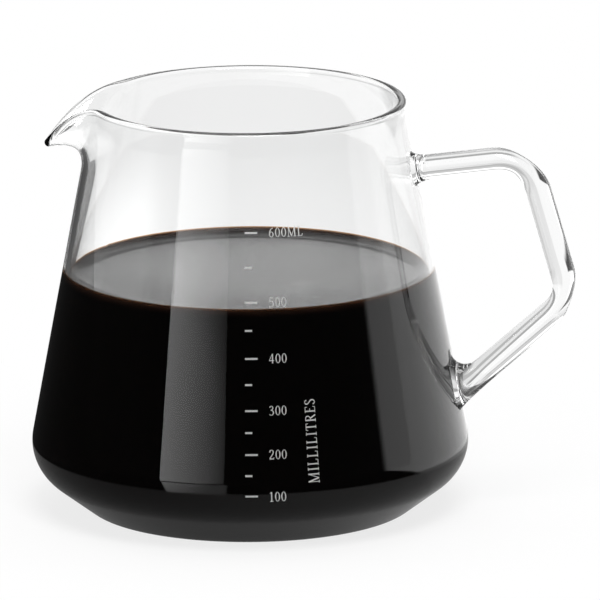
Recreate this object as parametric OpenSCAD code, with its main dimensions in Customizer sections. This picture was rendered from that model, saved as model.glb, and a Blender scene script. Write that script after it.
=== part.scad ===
// Glass measuring jug: a blown conical body with a drawn pouring spout, a bent glass-rod
// handle fused on through two flared collars, and a printed millilitre scale.
// Millimetres. The jug's axis is Z, its resting plane is z = 0, the handle points along +X,
// the spout along -X, and the scale faces -Y.

/* [Body] */
// Height of the rim above the resting plane
body_h = 107.5; // [95:0.5:125]
// Outer diameter that the straight wall would have at rim height
mouth_d = 79.6; // [70:0.2:90]
// Lean of the wall, from vertical
wall_lean = 10.6; // [7:0.2:13]
// Outer diameter of the base, measured to the sharp corner of the foot
base_d = 82.4; // [72:0.2:92]
// Rise of the lower cone, from horizontal
heel_rise = 37; // [30:1:45]
// Outside radius of the rounded heel
heel_r = 12.6; // [8:0.2:15]
// Outside radius at the edge of the base
foot_r = 5; // [2:0.5:8]
// Thickness of the wall
wall_t = 1.8; // [1.4:0.1:2.6]
// Height of the inner floor above the resting plane
floor_t = 3.5; // [2.5:0.1:5]
// Inside radius where the floor meets the lower cone
floor_r = 8; // [4:0.5:12]

/* [Rim] */
// Thickness of the fire-polished rim
rim_t = 2.4; // [2:0.1:3]
// How far the rim turns out from the straight wall
rim_flare = 0.8; // [0.2:0.1:2]
// Height over which the wall turns out into the rim
flare_h = 7; // [4:0.5:10]

/* [Spout] */
// How far the spout is drawn out beyond the rim
spout_pull = 12.2; // [6:0.2:16]
// How far the tip is drawn down below the rim
spout_drop = 11.4; // [4:0.2:13]
// Height of wall, below the rim, that the spout is drawn from
spout_depth = 18; // [15:0.5:24]
// Half of the angle of rim that is drawn out
pull_half_angle = 34; // [28:1:40]
// Half of the angle of rim that is drawn down
drop_half_angle = 42; // [36:1:48]

/* [Handle] */
// Diameter of the glass rod
rod_d = 6.6; // [5:0.1:8]
// Depth of the upper root below the rim
upper_root_depth = 17.3; // [14.5:0.1:23.5]
// Height of the lower root above the resting plane
lower_root_z = 31.3; // [26:0.1:38]
// Length of the upper arm, from the wall to the middle of its bend
upper_arm = 30; // [24:0.2:36]
// Rise of the upper arm, from horizontal
upper_arm_rise = 7.6; // [0:0.1:14]
// Length of the grip between the middles of its bends
grip_len = 38.3; // [32:0.2:46]
// Lean of the grip, outwards as it comes down
grip_lean = 16; // [8:0.1:22]
// Centreline radius of the upper bend
upper_bend_r = 11; // [6:0.5:14]
// Centreline radius of the lower bend
lower_bend_r = 12; // [5:0.5:13]
// Share by which the rod is drawn thinner in its bends, in the handle's plane
bend_thin = 0.18; // [0:0.02:0.3]

/* [Handle collars] */
// How far each collar's foot spreads beyond the rod on the wall
collar_flare = 1.3; // [0.8:0.1:2.4]
// How far the web above the lower collar climbs the wall beyond the rod
web_climb = 7.6; // [3:0.1:9]
// How far the lower collar's foot reaches down the wall beyond the rod
toe_reach = 0.8; // [0.6:0.1:3]
// Length of the upper collar along the rod
upper_collar_len = 4; // [3:0.1:6]
// Length of the lower collar along the rod
lower_collar_len = 9.6; // [7:0.1:10.5]

/* [Scale] */
// Volume held up to the mark of 100 millilitres
held_at_100 = 100; // [85:1:115]
// Volume held up to the mark of 200 millilitres
held_at_200 = 197; // [180:1:220]
// Volume held up to the mark of 300 millilitres
held_at_300 = 291; // [275:1:320]
// Volume held up to the mark of 400 millilitres
held_at_400 = 393; // [375:1:420]
// Volume held up to the mark of 500 millilitres
held_at_500 = 492; // [475:1:520]
// Volume held up to the mark of 600 millilitres
held_at_600 = 600; // [575:1:615]
// Length of a long mark around the wall
long_mark = 3.2; // [2:0.1:6]
// Length of a short mark around the wall
short_mark = 1.8; // [1:0.1:3]
// Width of the printed line
mark_w = 0.45; // [0.3:0.05:0.8]
// Thickness of the printed enamel
print_t = 0.1; // [0.08:0.02:0.2]
// Turn of the marks' left ends from the middle of the front, towards the handle
scale_turn = 6.8; // [-30:0.2:30]

/* [Hidden] */
$fn = 96;

GLASS = [0.86, 0.90, 0.90, 0.45];
ENAMEL = [0.93, 0.93, 0.91];

// Counts of straight steps around the spout and around the rest of the body
SPOUT_STEPS = 40;
ROUND_STEPS = 72;
// Counts of straight steps along the body's profile, and along the handle and its collars
FOOT_STEPS = 3;
HEEL_STEPS = 6;
BAND_STEPS = 8;
BEAD_STEPS = 6;
COLLAR_STEPS = 10;
BEND_STEPS = 12;
ROD_SIDES = 32;
BISECTIONS = 30;

// Depth of glass that is ground off to make the base flat
BASE_GRIND = 1;
// How sharply a collar's fillets turn, and how far their feet stand up from the wall
FILLET_PULL = 0.5;
FOOT_LIFT = 0.4;
// Shares of a foot's size at which its underside follows the wall
FOOT_SHARES = [1 / 3, 2 / 3];
// How late the drawn wall turns out and down as it rises
DRAW_POWER = 1.7;
// How closely the drawing out and down keep to the middle of the spout
PULL_SHARP = 3.55;
DROP_SHARP = 9;
// Small step for the slopes of the drawn wall
DELTA = 0.01;

ML = 1000;

rod_r = rod_d / 2;
sector = max(pull_half_angle, drop_half_angle);
band_z = body_h - spout_depth;
bead_z = body_h - rim_t / 2;

function lerp(a, b, t) = a + (b - a) * t;
function unit(v) = v / norm(v);
function dir(angle) = [cos(angle), sin(angle)];
function arc(centre, r, from, to, steps) =
    [for (i = [0:steps]) centre + r * dir(lerp(from, to, i / steps))];
function reversed(list) = [for (i = [len(list) - 1:-1:0]) list[i]];

// A point of a profile, as radius and height, turned around the axis from the spout
function turned(p, angle) = [p.x * cos(180 + angle), p.x * sin(180 + angle), p.y];

// Faces of a closed tube of rings that follow each other in one list of points
function tube_faces(rings, sides) = concat(
    [for (j = [0:rings - 2], i = [0:sides - 1])
        let (a = j * sides, b = a + sides, k = (i + 1) % sides)
        each [[a + i, b + k, b + i], [a + i, a + k, b + k]]],
    [[for (i = [sides - 1:-1:0]) i], [for (i = [0:sides - 1]) (rings - 1) * sides + i]]);

// Outer radius of the straight wall at a height
function wall_r(z) = mouth_d / 2 + (body_h - z) * tan(wall_lean);

// The heel: where the lower cone's line meets the wall's line, and the round between them
corner_z = (wall_r(0) - base_d / 2) / (1 / tan(heel_rise) + tan(wall_lean));
corner = [base_d / 2 + corner_z / tan(heel_rise), corner_z];
heel_tangent = heel_r * tan((90 + wall_lean - heel_rise) / 2);
heel_c = corner - heel_tangent * dir(heel_rise) + heel_r * dir(heel_rise + 90);

// The edge of the base, and the inside round of the floor
foot_c = [base_d / 2 - foot_r * tan(heel_rise / 2), foot_r];
inner_base_r = base_d / 2 - wall_t / sin(heel_rise) + floor_t / tan(heel_rise);
floor_c = [inner_base_r - floor_r * tan(heel_rise / 2), floor_t + floor_r];

// The band of wall below the rim, as its middle surface. It is a cone that flares at the rim,
// drawn out and down around the spout by powers of a cosine
function bell(angle, half, sharp) =
    abs(angle) < half ? pow(cos(90 * angle / half), sharp) : 0;
function flare_part(z) = pow(max(0, (z - body_h + flare_h) / flare_h), 2);
function band_t(z) = lerp(wall_t, rim_t, flare_part(z));
function band_mid_r(z) = wall_r(z) - wall_t / 2 / cos(wall_lean) + rim_flare * flare_part(z);
function band_point(angle, h) =
    let (z = lerp(band_z, bead_z, h))
    let (rise = pow(max(h, 0), DRAW_POWER))
    let (out = spout_pull * bell(angle, pull_half_angle, PULL_SHARP) * rise)
    let (down = spout_drop * bell(angle, drop_half_angle, DROP_SHARP) * rise)
    turned([band_mid_r(z) + out, z - down], angle);
function band_around(angle, h) =
    unit(band_point(angle + DELTA, h) - band_point(angle - DELTA, h));
function band_up(angle, h) =
    unit(band_point(angle, h + DELTA) - band_point(angle, h - DELTA));
function band_out(angle, h) = unit(cross(band_around(angle, h), band_up(angle, h)));

// One section through the band: up its outer face, over the round rim and down its inner face
function band_face(angle, side) =
    [for (i = [0:BAND_STEPS])
        let (h = i / BAND_STEPS)
        let (t = band_t(lerp(band_z, bead_z, h)))
        band_point(angle, h) + side * t / 2 * band_out(angle, h)];
function band_bead(angle) =
    [for (i = [1:BEAD_STEPS - 1])
        let (turn = rim_t / 2 * dir(180 * i / BEAD_STEPS))
        band_point(angle, 1) + turn.x * band_out(angle, 1) + turn.y * band_up(angle, 1)];
function band_section(angle) = concat(
    band_face(angle, 1), band_bead(angle), reversed(band_face(angle, -1)));

// The undrawn section as radius and height
plain_rim = [for (p = band_section(180)) [norm([p.x, p.y]), p.z]];

outer_heel = concat(
    arc(foot_c, foot_r, -90, heel_rise - 90, FOOT_STEPS),
    arc(heel_c, heel_r, heel_rise - 90, wall_lean, HEEL_STEPS));
inner_heel = concat(
    arc(floor_c, floor_r, -90, heel_rise - 90, FOOT_STEPS),
    arc(heel_c, heel_r - wall_t, heel_rise - 90, wall_lean, HEEL_STEPS));
outer_wall = concat(outer_heel, [for (i = [0:BAND_STEPS]) plain_rim[i]]);
inner_wall = concat(
    inner_heel, [for (i = [0:BAND_STEPS]) plain_rim[len(plain_rim) - 1 - i]]);

// Outer radius of the body at a height, on the same straight steps as its wall
function body_r(z) = lookup(z, [for (p = outer_wall) [p.y, p.x]]);

// Volume that the body holds up to a height: its inner profile as a stack of cone slices
function slice_ml(a, b) = PI / 3 * (b.y - a.y) * (a.x * a.x + a.x * b.x + b.x * b.x) / ML;
function cut_slice(a, b, z) = b.y <= z ? b : lerp(a, b, (z - a.y) / (b.y - a.y));
function held_ml(z, i = 0, sum = 0) =
    i >= len(inner_wall) - 1 || inner_wall[i].y >= z ? sum
    : held_ml(z, i + 1,
        sum + slice_ml(inner_wall[i], cut_slice(inner_wall[i], inner_wall[i + 1], z)));
function level_of(ml, low = floor_t, high = body_h, n = BISECTIONS) =
    let (z = (low + high) / 2)
    n == 0 ? z
    : held_ml(z) < ml ? level_of(ml, z, high, n - 1) : level_of(ml, low, z, n - 1);

// Heights of the long marks
mark_levels = [
    for (ml = [held_at_100, held_at_200, held_at_300, held_at_400, held_at_500, held_at_600])
        level_of(ml)];

// The handle's centreline corners in its own plane, as radius and height, and its headings
upper_root_z = body_h - upper_root_depth;
upper_root = [wall_r(upper_root_z), upper_root_z];
lower_root = [wall_r(lower_root_z), lower_root_z];
grip_heading = grip_lean - 90;
upper_bend = upper_root + upper_arm * dir(upper_arm_rise);
lower_bend = upper_bend + grip_len * dir(grip_heading);
lower_arm_rise = atan2(lower_bend.y - lower_root.y, lower_bend.x - lower_root.x);
upper_turn = upper_arm_rise - grip_heading;
lower_turn = grip_heading + 180 - lower_arm_rise;

// Points, headings and thinned shares around one bend that turns down at a corner of the
// centreline
function bend_path(corner, heading, turn, r) =
    let (centre = corner - r * tan(turn / 2) * dir(heading) + r * dir(heading - 90))
    [for (i = [0:BEND_STEPS])
        let (now = heading - turn * i / BEND_STEPS)
        [centre + r * dir(now + 90), now, bend_thin * pow(sin(180 * i / BEND_STEPS), 2)]];

// A ring of the rod around a point of the handle's plane, thinned in that plane by a share
rod_turns = [for (i = [0:ROD_SIDES - 1]) dir(360 * i / ROD_SIDES)];
function rod_ring(point, heading, thin = 0) =
    [for (q = rod_turns)
        let (p = point + rod_r * (1 - thin) * q.x * dir(heading + 90))
        [p.x, rod_r * q.y, p.y]];

// A point on the wall, a distance around it and a distance up it from a root
function on_wall(root, side, climb) =
    let (z = root.y + climb * cos(wall_lean))
    turned([wall_r(z), z], 180 + side / wall_r(z) * 180 / PI);

// A ring on the wall around a root: an oval with its own reach to the sides, up and down
function foot_ring(root, side, up, down, share = 1) =
    [for (q = rod_turns)
        on_wall(root, share * side * q.y, share * q.x * (q.x > 0 ? up : down))];

// A point of the cubic curve that leaves one end towards a corner and comes in to the other end
// from that corner, a little off the wall
function fillet(a, corner, b, t) =
    let (c = lerp(a, corner, FILLET_PULL))
    let (d = lerp(b, corner, FILLET_PULL) + [FOOT_LIFT, 0, 0])
    lerp(lerp(lerp(a, c, t), lerp(c, d, t), t), lerp(lerp(c, d, t), lerp(d, b, t), t), t);

// A fused collar: rings that follow the wall under its foot, and then sweep up the fillets from
// the foot's edge to the rod
module collar(root, rise, length, up, down) {
    oval = rod_r / cos(rise - wall_lean);
    side = rod_r + collar_flare;
    rod_end = rod_ring(root + length * dir(rise), rise);
    corners = foot_ring(root, rod_r, oval, oval);
    foot = foot_ring(root, side, oval + up, oval + down);
    rings = concat(
        [for (share = FOOT_SHARES) foot_ring(root, side, oval + up, oval + down, share)],
        [for (k = [0:COLLAR_STEPS])
            [for (i = [0:ROD_SIDES - 1])
                fillet(rod_end[i], corners[i], foot[i], 1 - k / COLLAR_STEPS)]]);
    polyhedron([for (r = rings) each r], tube_faces(len(rings), ROD_SIDES), 6);
}

// A printed line on the wall at a height
module mark(z, length) {
    low = [body_r(z - mark_w / 2), z - mark_w / 2];
    high = [body_r(z + mark_w / 2), z + mark_w / 2];
    rotate([0, 0, scale_turn - 90])
        rotate_extrude(angle = length / body_r(z) * 180 / PI)
            polygon([low, low + [print_t, 0], high + [print_t, 0], high]);
}

// The blown body in one skin, ground flat at the base: rings up the outside, over the rim and
// down the inside, with the drawn spout in the rings of the band
module vessel() {
    turns = concat(
        [for (i = [0:SPOUT_STEPS - 1]) lerp(-sector, sector, i / SPOUT_STEPS)],
        [for (i = [0:ROUND_STEPS - 1]) lerp(sector, 360 - sector, i / ROUND_STEPS)]);
    outside = concat(
        [[foot_c.x, -BASE_GRIND]], [for (i = [1:len(outer_heel) - 1]) outer_heel[i]]);
    inside = reversed(inner_heel);
    sections = [for (a = turns) band_section(a)];
    rings = concat(
        [for (p = outside) [for (a = turns) turned(p, a)]],
        [for (k = [0:len(plain_rim) - 1]) [for (s = sections) s[k]]],
        [for (p = inside) [for (a = turns) turned(p, a)]]);
    color(GLASS)
        difference() {
            polyhedron([for (r = rings) each r], tube_faces(len(rings), len(turns)), 6);
            translate([0, 0, -2 * BASE_GRIND]) cylinder(h = 2 * BASE_GRIND, d = base_d);
        }
}

// The bent rod: a round section carried along the handle's centreline
module handle() {
    path = concat(
        [[upper_root + upper_collar_len * dir(upper_arm_rise), upper_arm_rise, 0]],
        bend_path(upper_bend, upper_arm_rise, upper_turn, upper_bend_r),
        bend_path(lower_bend, grip_heading, lower_turn, lower_bend_r),
        [[lower_root + lower_collar_len * dir(lower_arm_rise), lower_arm_rise - 180, 0]]);
    rings = [for (step = path) rod_ring(step[0], step[1], step[2])];
    color(GLASS)
        polyhedron([for (r = rings) each r], tube_faces(len(rings), ROD_SIDES), 6);
}

module upper_collar() {
    color(GLASS)
        collar(upper_root, upper_arm_rise, upper_collar_len, collar_flare, collar_flare);
}

module lower_collar() {
    color(GLASS)
        collar(lower_root, lower_arm_rise, lower_collar_len, web_climb, toe_reach);
}

module long_marks() {
    color(ENAMEL)
        for (z = mark_levels) mark(z, long_mark);
}

// Each short mark is midway between two long ones
module short_marks() {
    color(ENAMEL)
        for (i = [1:len(mark_levels) - 1])
            mark((mark_levels[i - 1] + mark_levels[i]) / 2, short_mark);
}

vessel();
handle();
upper_collar();
lower_collar();
long_marks();
short_marks();
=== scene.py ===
"""Looks of a clear glass measuring jug with a drawn spout, a bent rod handle and coffee in it.

Everything is in metres in the frame of the solids: the jug's axis is Z, it stands on z = 0, the
handle points along +X, the spout along -X and the printed scale faces -Y. Sizes in the classes
are in millimetres and are turned into metres where a mesh is made.
"""

import logging
import math
from dataclasses import dataclass, field
from enum import Enum

import bpy
import numpy as np
from mathutils import Matrix, Vector


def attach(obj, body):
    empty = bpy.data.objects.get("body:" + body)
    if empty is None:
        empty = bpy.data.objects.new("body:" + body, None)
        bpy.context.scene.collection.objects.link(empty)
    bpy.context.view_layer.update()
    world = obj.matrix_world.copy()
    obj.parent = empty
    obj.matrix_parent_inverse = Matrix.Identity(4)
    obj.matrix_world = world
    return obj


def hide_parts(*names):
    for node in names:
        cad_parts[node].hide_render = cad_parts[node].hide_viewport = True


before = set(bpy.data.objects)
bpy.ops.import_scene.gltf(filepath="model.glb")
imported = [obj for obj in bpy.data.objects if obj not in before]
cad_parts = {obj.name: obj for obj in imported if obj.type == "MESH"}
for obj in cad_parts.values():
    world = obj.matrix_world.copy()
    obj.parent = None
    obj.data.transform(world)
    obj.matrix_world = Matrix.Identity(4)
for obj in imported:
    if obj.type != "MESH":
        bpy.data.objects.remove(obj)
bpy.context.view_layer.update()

LOG = logging.getLogger("jug")
MM = 0.001
ROOT = "root"
FALL = (1.0, 0.0)
Socket = bpy.types.NodeSocket


class Reading(Enum):
    """Which way a line of print runs on the wall."""

    ACROSS = 0
    UPWARDS = 90


def turned(degrees: np.ndarray | float) -> np.ndarray:
    """Unit vectors at angles in degrees, with the pair on a new last axis."""
    rad = np.radians(degrees)
    return np.stack([np.cos(rad), np.sin(rad)], axis=-1)


def unit(vectors: np.ndarray) -> np.ndarray:
    """Vectors on the last axis, each divided by its length."""
    return vectors / np.linalg.norm(vectors, axis=-1, keepdims=True)


def arc(centre: np.ndarray, radius: float, start: float, end: float, steps: int) -> np.ndarray:
    """Points of a circle's arc: its centre plus the radius times unit vectors at even angles."""
    return centre + radius * turned(np.linspace(start, end, steps + 1))


def straight(start: np.ndarray, end: np.ndarray, steps: int) -> np.ndarray:
    """Points between two ends, which are left out, at even shares of the way."""
    share = np.linspace(0, 1, steps + 1)[1:-1, None]
    return start + (end - start) * share


def revolved(profile: np.ndarray, degrees: np.ndarray) -> np.ndarray:
    """Rings of a profile: each radius and height of it, turned about the axis to every angle.

    Args:
        profile: Radius and height of each of its points.
        degrees: Angles of the points around each ring.

    Returns:
        Points on axes of ring, place around it and x, y, z.
    """
    way = turned(degrees)
    r, z = profile[:, 0, None], profile[:, 1, None]
    return np.stack([r * way[:, 0], r * way[:, 1], z + 0 * way[:, 0]], axis=-1)


def grid_faces(rows: int, cols: int) -> np.ndarray:
    """Quads of a grid that is closed around its columns.

    Args:
        rows: Rings of the grid.
        cols: Points in each ring.

    Returns:
        Vertex numbers, one quad a row, in the order this ring, its next point, the ring after.
    """
    here = np.arange(rows - 1)[:, None] * cols + np.arange(cols)[None, :]
    beside = np.arange(rows - 1)[:, None] * cols + (np.arange(cols)[None, :] + 1) % cols
    return np.stack([here, beside, beside + cols, here + cols], axis=-1).reshape(-1, 4)


def signed_volume(points: np.ndarray, faces: list[np.ndarray]) -> float:
    """Volume inside closed faces: a sixth of the sum of triple products of each fan triangle.

    Args:
        points: One row for each point.
        faces: Blocks of faces that have the same number of corners.

    Returns:
        The volume, which is negative where the faces point inwards.
    """
    total = 0.0
    for block in faces:
        for k in range(1, block.shape[1] - 1):
            a, b, c = points[block[:, 0]], points[block[:, k]], points[block[:, k + 1]]
            total += float(np.einsum("ij,ij->i", a, np.cross(b, c)).sum()) / 6
    return total


@dataclass
class Skin:
    """Points and faces of one closed surface, in millimetres, gathered from rings.

    Attributes:
        points: One row for each point.
        faces: Blocks of faces that have the same number of corners.
    """

    points: np.ndarray
    faces: list[np.ndarray]

    @classmethod
    def outward(cls, points: np.ndarray, faces: list[np.ndarray]) -> "Skin":
        """A skin whose faces are all turned over if they would face inwards.

        Args:
            points: One row for each point.
            faces: Blocks of faces that have the same number of corners.

        Returns:
            The skin.
        """
        if signed_volume(points, faces) < 0:
            faces = [block[:, ::-1] for block in faces]
        return cls(points, faces)

    @classmethod
    def tube(cls, rings: np.ndarray, first: np.ndarray, last: np.ndarray) -> "Skin":
        """A tube of rings closed by a fan at each end, turned to face outwards.

        Args:
            rings: Points on axes of ring, place around it and x, y, z.
            first: The middle of the first ring.
            last: The middle of the last ring.

        Returns:
            The closed skin.
        """
        rows, cols = rings.shape[:2]
        points = np.concatenate([rings.reshape(-1, 3), [first], [last]])
        near, side = np.arange(cols), (np.arange(cols) + 1) % cols
        base = (rows - 1) * cols
        start = np.stack([np.full(cols, rows * cols), side, near], axis=-1)
        end = np.stack([np.full(cols, rows * cols + 1), base + near, base + side], axis=-1)
        return cls.outward(points, [grid_faces(rows, cols), start, end])

    @classmethod
    def loop(cls, rings: np.ndarray) -> "Skin":
        """A tube whose last ring is followed by its first, turned to face outwards."""
        rows, cols = rings.shape[:2]
        return cls.outward(rings.reshape(-1, 3), [grid_faces(rows + 1, cols) % (rows * cols)])

    @classmethod
    def joined(cls, parts: list["Skin"]) -> "Skin":
        """Several closed skins as one, each with its own points.

        Args:
            parts: The skins.

        Returns:
            The one skin.
        """
        starts = np.cumsum([0] + [len(p.points) for p in parts[:-1]])
        faces = [block + at for p, at in zip(parts, starts) for block in p.faces]
        return cls(np.concatenate([p.points for p in parts]), faces)

    def mesh(self, name: str) -> bpy.types.Object:
        """Puts the skin into a new smooth mesh object at the origin, in metres.

        Args:
            name: The piece's name.

        Returns:
            The linked object.
        """
        data = bpy.data.meshes.new(name)
        corners = np.concatenate([block.ravel() for block in self.faces]).astype(np.int32)
        sizes = np.concatenate([np.full(len(b), b.shape[1]) for b in self.faces])
        data.vertices.add(len(self.points))
        data.vertices.foreach_set("co", (self.points * MM).astype(np.float32).ravel())
        data.loops.add(len(corners))
        data.loops.foreach_set("vertex_index", corners)
        data.polygons.add(len(sizes))
        starts = np.concatenate([[0], np.cumsum(sizes)[:-1]]).astype(np.int32)
        data.polygons.foreach_set("loop_start", starts)
        data.polygons.foreach_set("use_smooth", np.ones(len(sizes), dtype=bool))
        data.update(calc_edges=True)
        data.validate()
        piece = bpy.data.objects.new(name, data)
        bpy.context.scene.collection.objects.link(piece)
        return piece


class Graph:
    """A material's, a light's or the world's node tree, with short calls to add and join nodes."""

    def __init__(self, owner: bpy.types.ID) -> None:
        """Clears the owner's nodes.

        Args:
            owner: The material, light or world.
        """
        owner.use_nodes = True
        self.tree = owner.node_tree
        self.tree.nodes.clear()

    def add(self, kind: str, values: dict | None = None, **settings) -> bpy.types.Node:
        """Adds a node.

        Args:
            kind: Blender's name of the node type.
            values: Numbers or colours for its sockets, or other nodes' sockets to link to them.
            **settings: Attributes of the node.

        Returns:
            The node.
        """
        node = self.tree.nodes.new(kind)
        for key, value in settings.items():
            setattr(node, key, value)
        for key, value in (values or {}).items():
            if isinstance(value, Socket):
                self.tree.links.new(value, node.inputs[key])
            else:
                node.inputs[key].default_value = value
        return node

    def ramp(self, source: Socket, stops: list[tuple]) -> Socket:
        """A colour ramp over a value, and its colour socket.

        Args:
            source: The value that runs along the ramp.
            stops: Places from 0 to 1 with their colours.

        Returns:
            The ramp's colour.
        """
        node = self.add("ShaderNodeValToRGB", {"Fac": source})
        while len(node.color_ramp.elements) < len(stops):
            node.color_ramp.elements.new(1.0)
        for element, (place, colour) in zip(node.color_ramp.elements, stops):
            element.position = place
            element.color = (*colour, 1.0)
        return node.outputs["Color"]

    def fade(self, source: Socket, low: float, high: float, ends: tuple = (0.0, 1.0)) -> Socket:
        """A smooth step of a value: the first end up to low, the second from high on.

        Args:
            source: The value.
            low: Where the step starts.
            high: Where it is done.
            ends: The two results.

        Returns:
            The stepped value.
        """
        limits = {"From Min": low, "From Max": high, "To Min": ends[0], "To Max": ends[1]}
        node = self.add(
            "ShaderNodeMapRange", {"Value": source, **limits}, interpolation_type="SMOOTHSTEP"
        )
        return node.outputs["Result"]

    def chain(self, operation: str, *values: Socket | float) -> Socket:
        """Chains one arithmetic operation over several values.

        Args:
            operation: Blender's name of it.
            *values: Sockets or numbers.

        Returns:
            The result.
        """
        total = values[0]
        for value in values[1:]:
            total = self.add("ShaderNodeMath", {0: total, 1: value}, operation=operation).outputs[0]
        return total

    def times(self, *values: Socket | float) -> Socket:
        """The product of several values."""
        return self.chain("MULTIPLY", *values)

    def plus(self, *values: Socket | float) -> Socket:
        """The sum of several values."""
        return self.chain("ADD", *values)

    def less(self, *values: Socket | float) -> Socket:
        """The first value less the others."""
        return self.chain("SUBTRACT", *values)

    def mixed(
        self, share: Socket | float, first: bpy.types.Node, second: bpy.types.Node
    ) -> bpy.types.Node:
        """A shader that is the first of two, and by a share the second."""
        both = {1: first.outputs[0], 2: second.outputs[0]}
        return self.add("ShaderNodeMixShader", {0: share, **both})

    def surface(self, shader: bpy.types.Node) -> None:
        """Ends a material with a shader."""
        self.add("ShaderNodeOutputMaterial", {"Surface": shader.outputs[0]})

    def window(self, source: Socket, low: float, high: float, soft: float) -> Socket:
        """1 where a value is between two limits and 0 outside them, with soft ends.

        Args:
            source: The value.
            low: The lower limit.
            high: The upper limit.
            soft: How far beyond each limit the ends reach.

        Returns:
            The windowed value.
        """
        falling = self.fade(source, high, high + soft, FALL)
        return self.times(self.fade(source, low - soft, low), falling)

    def dimmed(self, share: float, *zones: Socket) -> Socket:
        """1 less a share where all of some zones overlap."""
        return self.less(1.0, self.times(share, *zones))

    def along(self, place: Socket, way: tuple) -> Socket:
        """How far a place lies along a direction."""
        node = self.add("ShaderNodeVectorMath", {0: place, 1: way}, operation="DOT_PRODUCT")
        return node.outputs["Value"]


@dataclass(frozen=True)
class ClearGlass:
    """Blown clear glass: even and fire-polished, with the faint waves of hand work.

    Attributes:
        tint: Share of each colour that one surface lets through where it lets through least.
        clearest: The same where it lets through most.
        ior: Refraction of the glass.
        wave: Height of the surface's waves in metres.
        wave_scale: Waves in a metre around the jug.
        wave_stretch: Waves up the jug, as a share of those around it.
        caught_after: Bounces after which light caught in the wall leaves it straight on.
    """

    tint: tuple = (0.994, 0.997, 0.996)
    clearest: tuple = (0.998, 0.999, 0.999)
    ior: float = 1.47
    wave: float = 0.00003
    wave_scale: float = 70.0
    wave_stretch: float = 0.3
    caught_after: float = 6.5

    def made(self, name: str) -> bpy.types.Material:
        """The finish as a material.

        Args:
            name: The material's name.

        Returns:
            The material.
        """
        material = bpy.data.materials.new(name)
        g = Graph(material)
        place = g.add("ShaderNodeTexCoord").outputs["Object"]
        scale = (1.0, 1.0, self.wave_stretch)
        long_ways = g.add("ShaderNodeMapping", {"Vector": place, "Scale": scale}).outputs["Vector"]
        waves = g.add(
            "ShaderNodeTexNoise",
            {"Vector": long_ways, "Scale": self.wave_scale, "Detail": 1.5, "Roughness": 0.4},
        )
        bump = g.add(
            "ShaderNodeBump",
            {"Height": waves.outputs["Fac"], "Strength": 1.0, "Distance": self.wave},
        )
        lit = g.ramp(waves.outputs["Fac"], [(0.3, self.tint), (0.7, self.clearest)])
        shader = g.add(
            "ShaderNodeBsdfPrincipled",
            {
                "Base Color": lit,
                "Roughness": 0.0,
                "IOR": self.ior,
                "Transmission Weight": 1.0,
                "Normal": bump.outputs["Normal"],
            },
        )
        straight_on = g.add("ShaderNodeBsdfRefraction", {"Roughness": 0.0, "IOR": 1.0})
        depth = g.add("ShaderNodeLightPath").outputs["Ray Depth"]
        caught = g.chain("GREATER_THAN", depth, self.caught_after)
        g.surface(g.mixed(caught, shader, straight_on))
        return material


@dataclass(frozen=True)
class FiredEnamel:
    """White print, fired onto the glass: satin, a little uneven in its cover.

    Attributes:
        full: Colour where the print is thick.
        thin: Colour where it is thin.
        through: Share of the light that it scatters onwards and not back.
        grain: Grains in a metre.
        relief: Height of the grain in metres.
        satin: Roughness of its face.
    """

    full: tuple = (0.86, 0.86, 0.85)
    thin: tuple = (0.74, 0.74, 0.73)
    through: float = 0.55
    grain: float = 2200.0
    relief: float = 0.00002
    satin: float = 0.42

    def made(self, name: str) -> bpy.types.Material:
        """The finish as a material.

        Args:
            name: The material's name.

        Returns:
            The material.
        """
        material = bpy.data.materials.new(name)
        g = Graph(material)
        place = g.add("ShaderNodeTexCoord").outputs["Object"]
        grain = g.add("ShaderNodeTexNoise", {"Vector": place, "Scale": self.grain, "Detail": 3.0})
        cover = g.ramp(grain.outputs["Fac"], [(0.32, self.thin), (0.5, self.full)])
        bump = g.add(
            "ShaderNodeBump",
            {"Height": grain.outputs["Fac"], "Strength": 0.4, "Distance": self.relief},
        )
        shader = g.add(
            "ShaderNodeBsdfPrincipled",
            {"Base Color": cover, "Roughness": self.satin, "Normal": bump.outputs["Normal"]},
        )
        glow = g.add("ShaderNodeBsdfTranslucent", {"Color": cover})
        back = g.add("ShaderNodeNewGeometry").outputs["Backfacing"]
        clear = g.add("ShaderNodeBsdfTransparent")
        g.surface(g.mixed(back, g.mixed(self.through, shader, glow), clear))
        return material


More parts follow.
